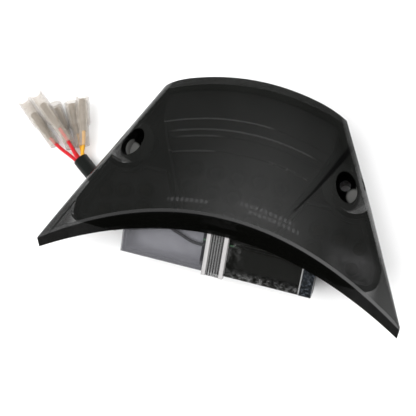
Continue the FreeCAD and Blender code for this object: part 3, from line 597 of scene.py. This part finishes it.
def wire_route(angle, tail, head, reach):
    """Points of one wire, from inside the sheath into its sleeve, in millimetres."""
    before, mouth = (Vector(SHEATH_ROUTE[n]) for n in (-2, -1))
    along = (mouth - before).normalized()
    aside = along.cross(UP)
    start = before + along * WIRE_START
    tail = Vector(tail)
    axis = (Vector(head) - tail).normalized()

    def spoke(degrees):
        turn = math.radians(degrees)
        return (aside * math.cos(turn) + UP * math.sin(turn)) * WIRE_RING_R

    return [start + spoke(angle + WIRE_LAY), (start + mouth) * 0.5 + spoke(angle),
            mouth + spoke(angle), tail + axis * TAIL_PLAY, tail + axis * reach]


def build_lead():
    free_cord("cable_sheath", SHEATH_ROUTE, SHEATH_WIDTH, "sheath", length=SHEATH_LENGTH * MM,
              far_end="bare", stiffness="medium", lay="loose")
    for name, angle, tail, head, reach, length in LEADS:
        colour = name.split("_")[0]
        free_cord("wire_" + name, wire_route(angle, tail, head, reach), WIRE_WIDTH, colour + "_wire",
                  length=length * MM, far_end="connector", stiffness="limp", lay="loose",
                  with_pieces=[nodes["sleeve_" + name], nodes["terminal_" + name]])


build_lead()


# ---- floor, light and camera ---------------------------------------------------------------------
FLOOR_HALF = 3.0
FLOOR_DROP = 0.0002               # so that the floor isn't in the plane of the lamp's back
LAMP_SIZE = (1.4, 1.4)
KEY_PLACE = (-0.6, -0.4, 1.1)
KEY_POWER = 23
FILL_PLACE = (0.6, 0.4, 1.1)
FILL_POWER = 17
SKY_LIGHT = 0.25
SKY_PATCH = (-0.13, 0.07, 0.99)   # middle of the softly brighter patch overhead
SKY_PATCH_R = 0.28
SKY_PATCH_LIGHT = 1.9
CAMERA_PLACE = Vector((66.3, -37.0, 358.4)) * MM
CAMERA_AIM = Vector((-8.7, -13.3, 30.0)) * MM
CAMERA_ROLL = math.radians(13.93)
CAMERA_LENS = 60.6


def stage():
    floor_mesh = bpy.data.meshes.new("floor")
    corners = [(-FLOOR_HALF, -FLOOR_HALF, 0), (FLOOR_HALF, -FLOOR_HALF, 0),
               (FLOOR_HALF, FLOOR_HALF, 0), (-FLOOR_HALF, FLOOR_HALF, 0)]
    floor_mesh.from_pydata(corners, [], [(0, 1, 2, 3)])
    floor = bpy.data.objects.new("floor", floor_mesh)
    floor.location.z = -FLOOR_DROP
    scene.collection.objects.link(floor)
    g = Graph("floor")
    g.set(Base_Color=grey(0.93), Roughness=0.9, Specular_IOR_Level=0.1)
    floor_mesh.materials.append(g.material)


def area(name, place, power):
    """Large soft lamp over the table, aimed at the origin and not seen in reflections."""
    light = bpy.data.lights.new(name, "AREA")
    light.shape = "RECTANGLE"
    light.size, light.size_y = LAMP_SIZE
    light.energy = power
    lamp = bpy.data.objects.new(name, light)
    lamp.location = place
    lamp.visible_glossy = False
    lamp.rotation_euler = (-Vector(place)).to_track_quat("-Z", "Y").to_euler()
    scene.collection.objects.link(lamp)


def sky():
    """Dim even sky with one brighter patch, which is what the lens reflects."""
    world = bpy.data.worlds.new("studio")
    world.use_nodes = True
    tree = world.node_tree
    direction = tree.nodes.new("ShaderNodeTexCoord").outputs["Generated"]
    apart = tree.nodes.new("ShaderNodeVectorMath")
    apart.operation = "DISTANCE"
    tree.links.new(direction, apart.inputs[0])
    apart.inputs[1].default_value = SKY_PATCH
    glow = tree.nodes.new("ShaderNodeMapRange")
    glow.interpolation_type = "SMOOTHSTEP"
    tree.links.new(apart.outputs["Value"], glow.inputs["Value"])
    for key, value in (("From Min", 0.0), ("From Max", SKY_PATCH_R), ("To Min", SKY_PATCH_LIGHT),
                       ("To Max", SKY_LIGHT)):
        glow.inputs[key].default_value = value
    background = tree.nodes["Background"]
    background.inputs["Color"].default_value = (1, 1, 1, 1)
    tree.links.new(glow.outputs["Result"], background.inputs["Strength"])
    scene.world = world


def camera():
    data = bpy.data.cameras.new("camera")
    data.sensor_width = 36.0
    data.lens = CAMERA_LENS
    data.clip_start = 0.01
    cam = bpy.data.objects.new("camera", data)
    view = (CAMERA_AIM - CAMERA_PLACE).normalized()
    right = view.cross(Vector((0, 1, 0))).normalized()
    turn = Matrix((right, right.cross(view), -view)).transposed().to_4x4()
    cam.matrix_world = Matrix.Translation(CAMERA_PLACE) @ turn @ Matrix.Rotation(CAMERA_ROLL, 4, "Z")
    scene.collection.objects.link(cam)
    scene.camera = cam


stage()
area("key", KEY_PLACE, KEY_POWER)
area("fill", FILL_PLACE, FILL_POWER)
sky()
camera()
scene.view_settings.view_transform = "Standard"
